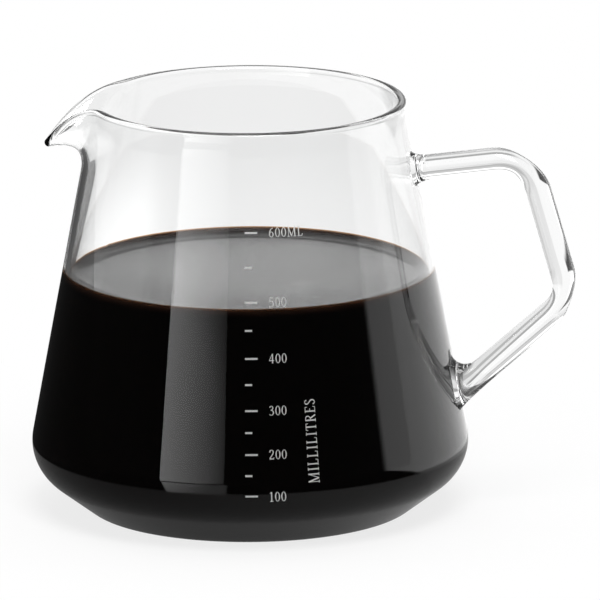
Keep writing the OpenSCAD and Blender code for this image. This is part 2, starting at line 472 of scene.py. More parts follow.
@dataclass(frozen=True)
class BlackCoffee:
    """Black coffee, which lets light through only where it is thin, at its edge on the glass.

    Attributes:
        deep: Colour where the coffee is deep.
        half_thin: Colour part of the way to the edge.
        edge: Colour of the thin edge.
        film: Share of each colour that the thinnest edge lets through.
        reflection_centre: Painted reflection: the point where the free surface mirrors most, in
            metres.
        reflection_fade: Metres from there at which the painted reflection starts to fade and is
            gone.
        reflection_strengths: How strongly the surface mirrors at that point and beyond the fade.
        ragged: How far the outline of the painted reflection wanders, in metres.
        swirls: Swirls of its outline in a metre.
        gloss: Roughness of the surface.
        wet: Roughness of the sides, which wet the glass.
        ior: Refraction of the coffee.
    """

    deep: tuple = (0.0014, 0.001, 0.0008)
    half_thin: tuple = (0.02, 0.009, 0.005)
    edge: tuple = (0.16, 0.062, 0.03)
    film: tuple = (0.95, 0.76, 0.58)
    reflection_centre: tuple = (0.004, 0.008, 0.0612)
    reflection_fade: tuple = (0.016, 0.052)
    reflection_strengths: tuple = (0.55, 0.17)
    ragged: float = 0.012
    swirls: float = 45.0
    gloss: float = 0.015
    wet: float = 0.6
    ior: float = 1.333

    def shine(self, g: Graph) -> Socket:
        """Painted reflection: how strongly the free surface mirrors, most near one point, less
        beyond a ragged outline.

        Args:
            g: The node tree.

        Returns:
            The strength.
        """
        place = g.add("ShaderNodeTexCoord").outputs["Object"]
        swirl = g.add("ShaderNodeTexNoise", {"Vector": place, "Scale": self.swirls, "Detail": 2.0})
        offset = g.add("ShaderNodeVectorMath", {0: place, 1: self.reflection_centre}, operation="DISTANCE")
        wander = g.times(swirl.outputs["Fac"], self.ragged)
        return g.fade(g.plus(offset.outputs["Value"], wander), *self.reflection_fade, self.reflection_strengths)

    def made(self, name: str, free: bool) -> bpy.types.Material:
        """The finish as a material.

        Args:
            name: The material's name.
            free: Whether this is the free surface, and not the sides that wet the glass.

        Returns:
            The material.
        """
        material = bpy.data.materials.new(name)
        g = Graph(material)
        thin = g.add("ShaderNodeAttribute", attribute_name="thin").outputs["Fac"]
        colour = g.ramp(thin, [(0.0, self.deep), (0.55, self.half_thin), (1.0, self.edge)])
        # on the free surface the Specular level carries the painted reflection from shine
        shader = g.add(
            "ShaderNodeBsdfPrincipled",
            {
                "Base Color": colour,
                "Roughness": self.gloss if free else self.wet,
                "IOR": self.ior,
                "Specular IOR Level": self.shine(g) if free else 0.0,
            },
        )
        film = g.add("ShaderNodeBsdfTransparent", {"Color": (*self.film, 1.0)})
        share = g.fade(thin, 0.55, 1.0, (0.0, 0.8))
        g.surface(g.mixed(share, shader, film))
        return material


@dataclass
class BlownBody:
    """The blown glass body, with the sizes that its solid has, in millimetres and degrees."""

    body_h: float = 107.5
    mouth_d: float = 79.6
    wall_lean: float = 10.6
    base_d: float = 82.4
    heel_rise: float = 37.0
    heel_r: float = 12.6
    foot_r: float = 5.0
    wall_t: float = 1.8
    floor_t: float = 3.5
    floor_r: float = 8.0
    rim_t: float = 2.4
    rim_flare: float = 0.8
    flare_h: float = 7.0
    spout_pull: float = 12.2
    spout_drop: float = 11.4
    spout_depth: float = 18.0
    pull_half_angle: float = 34.0
    drop_half_angle: float = 42.0
    pull_sharp: float = 3.55
    drop_sharp: float = 9.0
    draw_power: float = 1.7
    foot_rings: int = 10
    heel_rings: int = 26
    floor_rings: int = 12
    band_rings: int = 37
    rim_rings: int = 15
    spout_columns: int = 112
    other_columns: int = 176
    glass: ClearGlass = field(default_factory=ClearGlass)

    def wall_r(self, z: np.ndarray | float) -> np.ndarray | float:
        """Outer radius of the straight wall: the mouth's, and more by the lean as z goes down."""
        return self.mouth_d / 2 + (self.body_h - z) * math.tan(math.radians(self.wall_lean))

    def heel_centre(self) -> np.ndarray:
        """Centre of the heel's round, which touches the lower cone and the wall.

        From the corner where those two would meet it lies back along the cone, by the radius times
        the tangent of half the turn between them, and up from it at right angles by the radius.

        Returns:
            Its radius and height.
        """
        lean, rise = math.radians(self.wall_lean), math.radians(self.heel_rise)
        z = (self.wall_r(0) - self.base_d / 2) / (1 / math.tan(rise) + math.tan(lean))
        corner = np.array([self.base_d / 2 + z / math.tan(rise), z])
        back = self.heel_r * math.tan((math.pi / 2 + lean - rise) / 2)
        return corner - back * turned(self.heel_rise) + self.heel_r * turned(self.heel_rise + 90)

    def disc(self, edge: np.ndarray) -> np.ndarray:
        """Radius and height of five points on a level disc, between its middle and its edge."""
        share = np.linspace(0.1, 0.9, 5)
        return np.stack([share * edge[0], np.full(len(share), edge[1])], axis=-1)

    def to_heel(self, start: np.ndarray, r: float) -> np.ndarray:
        """Radius and height of points up the lower cone and round the heel by a radius r."""
        heel = arc(self.heel_centre(), r, self.heel_rise - 90, self.wall_lean, self.heel_rings)
        return np.concatenate([straight(start, heel[0], 5), heel])

    def outside(self) -> np.ndarray:
        """The outside, from the middle of the flat base to the upper end of the heel.

        Returns:
            Radius and height of each point.
        """
        rise = math.radians(self.heel_rise)
        foot_c = np.array([self.base_d / 2 - self.foot_r * math.tan(rise / 2), self.foot_r])
        foot = arc(foot_c, self.foot_r, -90, self.heel_rise - 90, self.foot_rings)
        return np.concatenate([self.disc(foot[0]), foot, self.to_heel(foot[-1], self.heel_r)])

    def inside(self) -> np.ndarray:
        """The inside, from the upper end of the heel to the middle of the flat floor.

        Returns:
            Radius and height of each point.
        """
        rise = math.radians(self.heel_rise)
        reach = self.base_d / 2 - self.wall_t / math.sin(rise) + self.floor_t / math.tan(rise)
        floor_c = np.array([reach - self.floor_r * math.tan(rise / 2), self.floor_t + self.floor_r])
        floor = arc(floor_c, self.floor_r, -90, self.heel_rise - 90, self.floor_rings)
        heel = self.to_heel(floor[-1], self.heel_r - self.wall_t)
        return np.concatenate([self.disc(floor[0]), floor, heel])[::-1]

    def bell(self, angle: np.ndarray, half: float, sharp: float) -> np.ndarray:
        """A cosine hump, 1 at angle 0 and 0 from the half angle on, raised to a power."""
        return np.cos(np.pi / 2 * np.clip(np.abs(angle) / half, 0, 1)) ** sharp

    def band_z(self, h: np.ndarray) -> np.ndarray:
        """Height of the undrawn band at a share h of it, up to the middle of the rim."""
        low, high = self.body_h - self.spout_depth, self.body_h - self.rim_t / 2
        return low + (high - low) * h

    def flare(self, z: np.ndarray) -> np.ndarray:
        """The square of how far a height is into the flare, from 0 below it to 1 at the rim."""
        return np.clip((z - self.body_h + self.flare_h) / self.flare_h, 0, None) ** 2

    def band(self, angle: np.ndarray, h: np.ndarray) -> np.ndarray:
        """Middle surface of the wall below the rim.

        The wall's cone flares by the square of the height in the flare. Around the spout it is
        moved out and down by a hump over the angle times a power of the share of height h.

        Args:
            angle: Degrees from the spout, on the second axis.
            h: Share of the band's height, on the first axis.

        Returns:
            Points on the axes of h, angle and x, y, z.
        """
        z = self.band_z(h)
        middle = self.wall_t / 2 / math.cos(math.radians(self.wall_lean))
        rise = np.clip(h, 0, None) ** self.draw_power
        out = self.spout_pull * self.bell(angle, self.pull_half_angle, self.pull_sharp) * rise
        down = self.spout_drop * self.bell(angle, self.drop_half_angle, self.drop_sharp) * rise
        r = self.wall_r(z) - middle + self.rim_flare * self.flare(z) + out
        way = turned(180 + angle)
        return np.stack([r * way[..., 0], r * way[..., 1], z - down], axis=-1)

    def band_skin(self, angle: np.ndarray) -> np.ndarray:
        """Rings up the band's outer face, over its round rim and down its inner face.

        Each face is the middle surface moved by half the thickness along its normal, and the rim
        is a half circle of the rim's thickness in the plane of the normal and the rise.

        Args:
            angle: Degrees from the spout, one for each column.

        Returns:
            Points on the axes of ring, column and x, y, z.
        """
        a, h = angle[None, :], np.linspace(0, 1, self.band_rings)[:, None]
        step = 0.02
        mid = self.band(a, h)
        around = unit(self.band(a + step, h) - self.band(a - step, h))
        up = unit(self.band(a, h + step) - self.band(a, h - step))
        normal = unit(np.cross(around, up))
        flare = self.flare(self.band_z(h))
        half = (self.wall_t + (self.rim_t - self.wall_t) * flare)[..., None] / 2
        over = np.linspace(0, 180, self.rim_rings + 2)[1:-1]
        over = self.rim_t / 2 * turned(over)[:, None, :]
        bead = mid[-1] + over[..., :1] * normal[-1] + over[..., 1:] * up[-1]
        return np.concatenate([mid + half * normal, bead, (mid - half * normal)[::-1]])

    def columns(self) -> np.ndarray:
        """Degrees from the spout of the grid's columns: close together there, wider elsewhere.

        Returns:
            One angle for each column.
        """
        margin = 3.0
        drawn = max(self.pull_half_angle, self.drop_half_angle) + margin
        near = np.linspace(-drawn, drawn, self.spout_columns, endpoint=False)
        far = np.linspace(drawn, 360 - drawn, self.other_columns, endpoint=False)
        return np.concatenate([near, far])

    def build(self) -> bpy.types.Object:
        """The body as one closed skin: up the outside, over the rim and down the inside.

        Returns:
            The piece, which stands for the vessel's solid.
        """
        angle = self.columns()
        band = self.band_skin(angle)
        low, high = self.outside(), self.inside()
        ends = band[[0, -1], -1]
        top, inner_top = np.column_stack([np.hypot(ends[:, 0], ends[:, 1]), ends[:, 2]])
        up = np.concatenate([low, straight(low[-1], top, 10)])
        down = np.concatenate([straight(inner_top, high[0], 10), high])
        rings = np.concatenate([revolved(up, 180 + angle), band, revolved(down, 180 + angle)])
        skin = Skin.tube(rings, np.array([0, 0, 0.0]), np.array([0, 0, self.floor_t]))
        piece = skin.mesh("vessel_glass")
        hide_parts("vessel")
        return piece

    def dress(self, piece: bpy.types.Object) -> None:
        """Gives the body its glass and seats it on the root body.

        Args:
            piece: The body.
        """
        piece.data.materials.append(self.glass.made("clear_glass_body"))
        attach(piece, ROOT)


@dataclass
class RodHandle:
    """The bent glass rod with its flared roots, in millimetres and degrees."""

    body: BlownBody
    rod_d: float = 6.6
    upper_root_depth: float = 17.3
    lower_root_z: float = 31.3
    upper_arm: float = 30.0
    upper_arm_rise: float = 7.6
    grip_len: float = 38.3
    grip_lean: float = 16.0
    upper_bend_r: float = 11.0
    lower_bend_r: float = 12.0
    bend_thin: float = 0.18
    collar_flare: float = 1.3
    web_climb: float = 7.6
    toe_reach: float = 0.8
    upper_collar_len: float = 4.0
    lower_collar_len: float = 9.6
    fillet_pull: float = 0.5
    gap: float = 0.08
    sides: int = 64
    bend_rings: int = 33
    arm_rings: int = 13
    collar_rings: int = 22
    glass: ClearGlass = field(default_factory=lambda: ClearGlass(wave_scale=60.0))

    def bend(self, corner: np.ndarray, heading: float, turn: float, r: float) -> np.ndarray:
        """Centreline around one bend: points of its arc, headings, and how far it is drawn thin.

        Args:
            corner: Where the two straight stretches would meet.
            heading: Direction into the bend.
            turn: Degrees that the bend turns down.
            r: Radius of the arc.

        Returns:
            Rows of radius, height, heading and thinness.
        """
        centre = corner - r * math.tan(math.radians(turn / 2)) * turned(heading)
        centre = centre + r * turned(heading - 90)
        now = np.linspace(heading, heading - turn, self.bend_rings)
        thin = self.bend_thin * np.sin(np.linspace(0, np.pi, self.bend_rings)) ** 2
        return np.column_stack([centre + r * turned(now + 90), now, thin])

    def roots(self) -> tuple[np.ndarray, np.ndarray]:
        """Radius and height of the upper and the lower root on the wall.

        Returns:
            A pair for each root.
        """
        upper_z = self.body.body_h - self.upper_root_depth
        upper = np.array([self.body.wall_r(upper_z), upper_z])
        return upper, np.array([self.body.wall_r(self.lower_root_z), self.lower_root_z])

    def centreline(self) -> np.ndarray:
        """The rod's centreline from the upper collar to the lower one, as rows like a bend's.

        Returns:
            Rows of radius, height, heading and thinness.
        """
        upper, lower = self.roots()
        down = self.grip_lean - 90
        first = upper + self.upper_arm * turned(self.upper_arm_rise)
        second = first + self.grip_len * turned(down)
        back = second - lower
        rise = math.degrees(math.atan2(back[1], back[0]))
        bends = [
            self.bend(first, self.upper_arm_rise, self.upper_arm_rise - down, self.upper_bend_r),
            self.bend(second, down, down + 180 - rise, self.lower_bend_r),
        ]
        start = upper + self.upper_collar_len * turned(self.upper_arm_rise)
        end = lower + self.lower_collar_len * turned(rise)
        stretches = [
            (start, bends[0][0, :2], self.upper_arm_rise),
            (bends[0][-1, :2], bends[1][0, :2], down),
            (bends[1][-1, :2], end, rise - 180),
        ]
        n = self.arm_rings
        runs = [
            np.column_stack([straight(a, b, n + 1), np.full(n, way), np.zeros(n)])
            for a, b, way in stretches
        ]
        ends = [np.array([[*start, self.upper_arm_rise, 0]]), np.array([[*end, rise - 180, 0]])]
        return np.concatenate([ends[0], runs[0], bends[0], runs[1], bends[1], runs[2], ends[1]])

    def oval(self, root: np.ndarray, reach: tuple, sign: int) -> np.ndarray:
        """A ring around a root, a hair off the wall's face.

        Around the ring the climb up the wall goes as the cosine, with one reach upwards and one
        downwards, and the distance sideways as the sine.

        Args:
            root: The root's radius and height.
            reach: The ring's reach up, down and sideways.
            sign: 1 where the ring's first point is its highest, and -1 where it is its lowest.

        Returns:
            The ring's points.
        """
        phi = np.linspace(0, 2 * np.pi, self.sides, endpoint=False)
        climb = sign * np.cos(phi)
        climb = np.where(climb > 0, reach[0] * climb, reach[1] * climb)
        z = root[1] + climb * math.cos(math.radians(self.body.wall_lean))
        r = self.body.wall_r(z) + self.gap
        turn = reach[2] * np.sin(phi) / r
        return np.stack([r * np.cos(turn), r * np.sin(turn), z], axis=-1)

    def collar(
        self, ring: np.ndarray, root: np.ndarray, rise: float, spread: tuple, sign: int
    ) -> np.ndarray:
        """The flare from the rod to the wall.

        From each point of the rod's ring a cubic curve runs on towards the corner where the rod
        would meet the wall, and comes in from that corner to the foot, an oval at the wall.

        Args:
            ring: The rod's last ring.
            root: The root's radius and height.
            rise: The rod's rise from the root, in degrees.
            spread: The foot's spread beyond the rod up, down and sideways.
            sign: 1 where the ring's first point is its highest, and -1 where it is its lowest.

        Returns:
            Rings from the one after the rod's to the foot, on axes of ring, place and x, y, z.
        """
        half = self.rod_d / 2
        slant = half / math.cos(math.radians(rise - self.body.wall_lean))
        corner = self.oval(root, (slant, slant, half), sign)
        reach = (slant + spread[0], slant + spread[1], half + spread[2])
        foot = self.oval(root, reach, sign)
        t = np.linspace(0, 1, self.collar_rings + 1)[1:, None, None]
        c1 = ring + (corner - ring) * self.fillet_pull
        c2 = foot + (corner - foot) * self.fillet_pull
        b0, b1, b2, b3 = (1 - t) ** 3, 3 * t * (1 - t) ** 2, 3 * t**2 * (1 - t), t**3
        return b0 * ring + b1 * c1 + b2 * c2 + b3 * foot

    def build(self) -> bpy.types.Object:
        """A round section carried along the centreline, with a flare at each end.

        In the bends the section is drawn thinner in the handle's plane.

        Returns:
            The piece, which stands for the rod and its two collars.
        """
        line = self.centreline()
        phi = np.linspace(0, 2 * np.pi, self.sides, endpoint=False)
        across = turned(line[:, 2] + 90)[:, None, :]
        radius = self.rod_d / 2
        wide = radius * np.cos(phi)[None, :, None] * (1 - line[:, 3])[:, None, None]
        flat = line[:, None, :2] + across * wide
        deep = np.broadcast_to(radius * np.sin(phi), flat.shape[:2])
        rod = np.stack([flat[..., 0], deep, flat[..., 1]], axis=-1)
        upper, lower = self.roots()
        even = (self.collar_flare, self.collar_flare, self.collar_flare)
        web = (self.web_climb, self.toe_reach, self.collar_flare)
        top = self.collar(rod[0], upper, line[0, 2], even, 1)
        low = self.collar(rod[-1], lower, line[-1, 2] + 180, web, -1)
        caps = [np.array([root[0] + self.gap, 0, root[1]]) for root in (upper, lower)]
        rings = np.concatenate([top[::-1], rod, low])
        piece = Skin.tube(rings, *caps).mesh("handle_glass")
        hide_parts("handle", "upper_collar", "lower_collar")
        return piece

    def dress(self, piece: bpy.types.Object) -> None:
        """Gives the rod its glass and seats it on the root body.

        Args:
            piece: The rod with its collars.
        """
        piece.data.materials.append(self.glass.made("clear_glass_rod"))
        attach(piece, ROOT)


@dataclass
class Coffee:
    """The coffee in the jug, in millimetres: it wets the glass and climbs it in a small edge."""

    body: BlownBody
    level: float = 61.2
    climb: float = 1.8
    climb_width: float = 1.8
    thins_below: float = 0.2
    side_fade: float = 1.5
    top_fade: float = 2.0
    overlap: float = 0.1
    close_within: float = 6.0
    close_rings: int = 40
    wide_rings: int = 16
    side_rings: int = 60
    columns: int = 192
    finish: BlackCoffee = field(default_factory=BlackCoffee)

    def build(self) -> bpy.types.Object:
        """Turns the coffee's outline round the axis.

        The sides follow the glass's inside, a hair into it. The free surface is level in the
        middle and rises to the glass as an exponential of the distance from it.

        Returns:
            The piece.
        """
        lean = math.radians(self.body.wall_lean)
        inner = self.body.wall_t / math.cos(lean)
        below = self.body.inside()[::-1] + np.array([[self.overlap, -self.overlap]])
        high = self.level + self.climb
        z = np.linspace(below[-1, 1], high, self.side_rings)[1:]
        side = np.stack([self.body.wall_r(z) - inner + self.overlap, z], axis=-1)
        edge = side[-1, 0]
        close = np.linspace(0, self.close_within, self.close_rings)[1:]
        wide = np.linspace(self.close_within, edge, self.wide_rings)[1:-1]
        away = np.concatenate([close, wide])
        rise = self.climb * np.exp(-away / self.climb_width)
        free = np.stack([edge - away, self.level + rise], axis=-1)
        outline = np.concatenate([below, side, free])
        around = np.linspace(0, 360, self.columns, endpoint=False)
        bottom = np.array([0, 0, self.body.floor_t - self.overlap])
        skin = Skin.tube(revolved(outline, around), bottom, np.array([0, 0, self.level]))
        piece = skin.mesh("coffee")
        data = piece.data
        above = (z - self.level + self.thins_below) / (self.climb + self.thins_below)
        on_side = np.clip(above, 0, 1) ** self.side_fade
        on_top = np.clip(rise / self.climb, 0, 1) ** self.top_fade
        thin = np.concatenate([np.zeros(len(below)), on_side, on_top])
        values = np.concatenate([np.repeat(thin, len(around)), [0, 0]]).astype(np.float32)
        data.attributes.new("thin", "FLOAT", "POINT").data.foreach_set("value", values)
        faces = np.zeros(len(data.polygons), dtype=np.int32)
        rows = len(below) + len(side) - 1
        faces[rows * len(around) : (len(outline) - 1) * len(around)] = 1
        faces[-len(around) :] = 1
        data.polygons.foreach_set("material_index", faces)
        return piece

    def dress(self, piece: bpy.types.Object) -> None:
        """Gives the coffee its wetted sides and its free surface and seats it on the root body.

        Args:
            piece: The coffee.
        """
        piece.data.materials.append(self.finish.made("coffee_at_glass", free=False))
        piece.data.materials.append(self.finish.made("coffee_surface", free=True))
        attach(piece, ROOT)


STEM, HAIR = 0.115, 0.052


def upright(across: float, top: float = 1.0, width: float = STEM) -> tuple:
    """A pen stroke that stands on the line of print."""
    return "line", [(across, 0.0), (across, top)], width


def level(left: float, right: float, up: float = 0.025, width: float = HAIR) -> tuple:
    """A level pen stroke, such as a letter's foot."""
    return "line", [(left, up), (right, up)], width


def slant(start: tuple, end: tuple, width: float = HAIR) -> tuple:
    """A straight pen stroke between two points."""
    return "line", [start, end], width


def curve(width: float, *points: tuple) -> tuple:
    """A curved pen stroke through some points."""
    return "curve", list(points), width


# Each figure's or letter's advance and its pen strokes, as shares of its height
GLYPHS: dict[str, tuple[float, list[tuple]]] = {
    "0": (0.56, [("ring", (0.28, 0.5, 0.205, 0.465), STEM)]),
    "1": (0.5, [upright(0.26, 0.98), slant((0.08, 0.84), (0.24, 0.95)), level(0.08, 0.44)]),
    "2": (
        0.56,
        [
            curve(0.1, (0.07, 0.74), (0.13, 0.92), (0.28, 0.97), (0.42, 0.87), (0.43, 0.68),
                  (0.32, 0.46), (0.17, 0.24), (0.07, 0.08)),
            level(0.05, 0.48, 0.05, 0.1),
            slant((0.47, 0.05), (0.51, 0.2)),
        ],
    ),
    "3": (
        0.55,
        [
            curve(0.1, (0.08, 0.82), (0.16, 0.94), (0.29, 0.96), (0.4, 0.84), (0.36, 0.64),
                  (0.19, 0.54)),
            curve(0.11, (0.19, 0.54), (0.38, 0.48), (0.46, 0.29), (0.37, 0.08), (0.2, 0.025),
                  (0.05, 0.12)),
        ],
    ),
    "4": (
        0.58,
        [slant((0.37, 0.98), (0.04, 0.3)), level(0.03, 0.53, 0.29, 0.08), upright(0.38, 0.99)],
    ),
    "5": (
        0.55,
        [
            level(0.14, 0.46, 0.94, 0.1),
            slant((0.15, 0.95), (0.11, 0.55)),
            curve(0.1, (0.11, 0.55), (0.24, 0.61), (0.4, 0.53), (0.46, 0.31), (0.38, 0.1),
                  (0.22, 0.025), (0.05, 0.09)),
        ],
    ),
    "6": (
        0.56,
        [
            curve(0.1, (0.45, 0.96), (0.27, 0.86), (0.13, 0.62), (0.09, 0.34)),
            ("ring", (0.28, 0.3, 0.19, 0.27), 0.11),
        ],
    ),
    "M": (
        0.96,
        [
            upright(0.13, 1.0, HAIR),
            slant((0.13, 0.99), (0.46, 0.03), STEM),
            slant((0.46, 0.03), (0.8, 0.99)),
            upright(0.8),
            level(0.02, 0.25),
            level(0.67, 0.93),
        ],
    ),
    "L": (
        0.62,
        [
            upright(0.17),
            level(0.04, 0.54, 0.03),
            slant((0.53, 0.03), (0.57, 0.24)),
            level(0.04, 0.31, 0.975),
        ],
    ),
    "I": (0.38, [upright(0.19), level(0.05, 0.33), level(0.05, 0.33, 0.975)]),
    "T": (
        0.66,
        [
            upright(0.33),
            level(0.04, 0.62, 0.97),
            slant((0.06, 0.97), (0.03, 0.78)),
            slant((0.6, 0.97), (0.63, 0.78)),
            level(0.19, 0.47),
        ],
    ),
    "R": (
        0.7,
        [
            upright(0.17),
            curve(0.09, (0.15, 0.965), (0.36, 0.965), (0.51, 0.87), (0.51, 0.66), (0.36, 0.53),
                  (0.17, 0.52)),
            slant((0.33, 0.53), (0.63, 0.02), 0.11),
            level(0.04, 0.31),
        ],
    ),
    "E": (
        0.62,
        [
            upright(0.17),
            level(0.04, 0.53, 0.97),
            level(0.17, 0.42, 0.52),
            level(0.04, 0.55, 0.03),
            slant((0.52, 0.97), (0.54, 0.79)),
            slant((0.54, 0.03), (0.58, 0.23)),
        ],
    ),
    "S": (
        0.54,
        [
            curve(0.1, (0.44, 0.8), (0.36, 0.94), (0.22, 0.97), (0.1, 0.86), (0.12, 0.68),
                  (0.27, 0.53), (0.42, 0.39), (0.45, 0.18), (0.34, 0.04), (0.18, 0.03),
                  (0.06, 0.2)),
        ],
    ),
}


@dataclass
class PrintedScale:
    """The fired print: the marks' numbers and the unit's name, in millimetres and degrees."""

    body: BlownBody
    numbers: tuple = ("100", "200", "300", "400", "500", "600ML")
    marks_turn: float = 6.8
    numbers_in: float = 6.1
    cap_h: float = 2.45
    number_gap: float = 0.24
    unit_name: str = "MILLILITRES"
    unit_in: float = 19.3
    unit_low: float = 19.0
    unit_cap_h: float = 2.9
    unit_gap: float = 0.28
    print_t: float = 0.06
    bedded: float = 0.02
    marks_apart: float = 2.0
    curve_contrast: float = 1.2
    ring_steps: int = 40
    line_steps: int = 6
    curve_steps: int = 7
    finish: FiredEnamel = field(default_factory=FiredEnamel)

    def smooth(self, points: np.ndarray, steps: int) -> np.ndarray:
        """A curve through points, with one cubic for each stretch between two of them.

        The slope at a point is half the way from the point before it to the point after it.

        Args:
            points: The points that it goes through.
            steps: Points for each stretch.

        Returns:
            The curve's points.
        """
        ends = np.concatenate([[2 * points[0] - points[1]], points, [2 * points[-1] - points[-2]]])
        p0, p1, p2, p3 = ends[:-3, None], ends[1:-2, None], ends[2:-1, None], ends[3:, None]
        t = np.linspace(0, 1, steps, endpoint=False)[None, :, None]
        cubic = 0.5 * (
            2 * p1
            + (p2 - p0) * t
            + (2 * p0 - 5 * p1 + 4 * p2 - p3) * t**2
            + (3 * p1 - p0 - 3 * p2 + p3) * t**3
        )
        return np.concatenate([cubic.reshape(-1, 2), points[-1:]])

    def pen(self, kind: str, shape: tuple | list, width: float) -> tuple[np.ndarray, np.ndarray]:
        """A pen stroke's middle line and its widths, which are full where it runs upright.

        Args:
            kind: "line", "curve" or "ring".
            shape: The stroke's points, or a ring's middle and its two radii.
            width: Width of an upright stroke.

        Returns:
            The line's points and the width at each.
        """
        if kind == "ring":
            x, y, a, b = shape
            around = turned(np.linspace(0, 360, self.ring_steps, endpoint=False))
            line = np.array([x, y]) + around * np.array([a, b])
            return line, HAIR + (width - HAIR) * around[:, 0] ** 2
        points = np.array(shape, dtype=float)
        if kind == "line":
            share = np.linspace(0, 1, self.line_steps)[:, None]
            line = points[0] + (points[1] - points[0]) * share
            return line, np.full(len(line), width)
        line = self.smooth(points, self.curve_steps)
        slope = unit(np.gradient(line, axis=0))
        return line, HAIR + (width - HAIR) * np.abs(slope[:, 1]) ** self.curve_contrast

    def onto_wall(self, flat: np.ndarray, lift: np.ndarray, at: np.ndarray) -> np.ndarray:
        """Lays flat print on the cone: across becomes an angle, up follows the leaning wall.

        Args:
            flat: Points across and up from the print's own corner.
            lift: Height of each point above the glass.
            at: Degrees and height of that corner on the wall.

        Returns:
            The points on the wall.
        """
        z = at[1] + flat[..., 1] * math.cos(math.radians(self.body.wall_lean))
        angle = math.radians(at[0]) + flat[..., 0] / self.body.wall_r(at[1])
        r = self.body.wall_r(z) + lift
        return np.stack([r * np.cos(angle), r * np.sin(angle), z], axis=-1)

    def stroke(
        self, line: np.ndarray, width: np.ndarray, closed: bool, at: np.ndarray, way: Reading
    ) -> Skin:
        """A flat section carried along a pen stroke on the wall.

        Args:
            line: The stroke's middle line.
            width: Its width at each point.
            closed: Whether its end joins its start.
            at: Degrees and height of the print's corner on the wall.
            way: The way that the print reads.

        Returns:
            The stroke's skin.
        """
        around = np.concatenate([line[-1:], line, line[:1]]) if closed else line
        slope = unit(np.gradient(around, axis=0))
        slope = slope[1:-1] if closed else slope
        beside = np.stack([-slope[:, 1], slope[:, 0]], axis=-1) * width[:, None] / 2
        flat = np.stack([line + beside, line + beside, line - beside, line - beside], axis=1)
        if way is Reading.UPWARDS:
            flat = np.stack([-flat[..., 1], flat[..., 0]], axis=-1)
        lift = np.array([-self.bedded, self.print_t, self.print_t, -self.bedded])[None, :]
        rings = self.onto_wall(flat, lift, at)
        if closed:
            return Skin.loop(rings)
        return Skin.tube(rings, rings[0].mean(axis=0), rings[-1].mean(axis=0))

    def words(self, text: str, cap: float, gap: float, at: np.ndarray, way: Reading) -> list[Skin]:
        """The strokes of a line of print.

        Args:
            text: Its figures and letters.
            cap: Height of a figure.
            gap: Space added after each figure.
            at: Degrees and height of the print's corner on the wall.
            way: The way that the print reads.

        Returns:
            One skin for each stroke.
        """
        skins, x = [], 0.0
        for figure in text:
            advance, strokes = GLYPHS[figure]
            for kind, shape, width in strokes:
                line, widths = self.pen(kind, shape, width)
                line = line * cap + np.array([x, 0.0])
                skins.append(self.stroke(line, widths * cap, kind == "ring", at, way))
            x += advance * cap + gap
        return skins

    def mark_heights(self) -> np.ndarray:
        """Heights of the long marks, from the gaps between the points of their solids.

        Returns:
            The heights of their middles, from the lowest mark up.
        """
        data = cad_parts["long_marks"].data
        points = np.empty(len(data.vertices) * 3, dtype=np.float32)
        data.vertices.foreach_get("co", points)
        z = np.unique(points.reshape(-1, 3)[:, 2]) / MM
        groups = np.split(z, np.flatnonzero(np.diff(z) > self.marks_apart) + 1)
        return np.array([(g.min() + g.max()) / 2 for g in groups])

    def build(self) -> list[bpy.types.Object]:
        """The numbers beside the long marks, and the unit's name that reads upwards.

        Returns:
            The two pieces.
        """
        drop = self.cap_h / 2 * math.cos(math.radians(self.body.wall_lean))
        skins = []
        for text, z in zip(self.numbers, self.mark_heights()):
            turn = math.degrees(self.numbers_in / self.body.wall_r(z))
            at = np.array([self.marks_turn - 90 + turn, z - drop])
            skins += self.words(text, self.cap_h, self.number_gap, at, Reading.ACROSS)
        numbers = Skin.joined(skins).mesh("scale_numbers")
        turn = math.degrees(self.unit_in / self.body.wall_r(self.unit_low))
        at = np.array([self.marks_turn - 90 + turn, self.unit_low])
        name = self.words(self.unit_name, self.unit_cap_h, self.unit_gap, at, Reading.UPWARDS)
        return [numbers, Skin.joined(name).mesh("scale_unit")]

    def dress(self, pieces: list[bpy.types.Object]) -> None:
        """Gives the print and the marks' solids their enamel and seats the print.

        Args:
            pieces: The numbers and the unit's name.
        """
        enamel = self.finish.made("fired_enamel")
        for piece in pieces:
            piece.data.polygons.foreach_set("use_smooth", np.zeros(len(piece.data.polygons), bool))
            piece.data.materials.append(enamel)
            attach(piece, ROOT)
        for node in ("long_marks", "short_marks"):
            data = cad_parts[node].data
            data.materials.clear()
            data.materials.append(enamel)


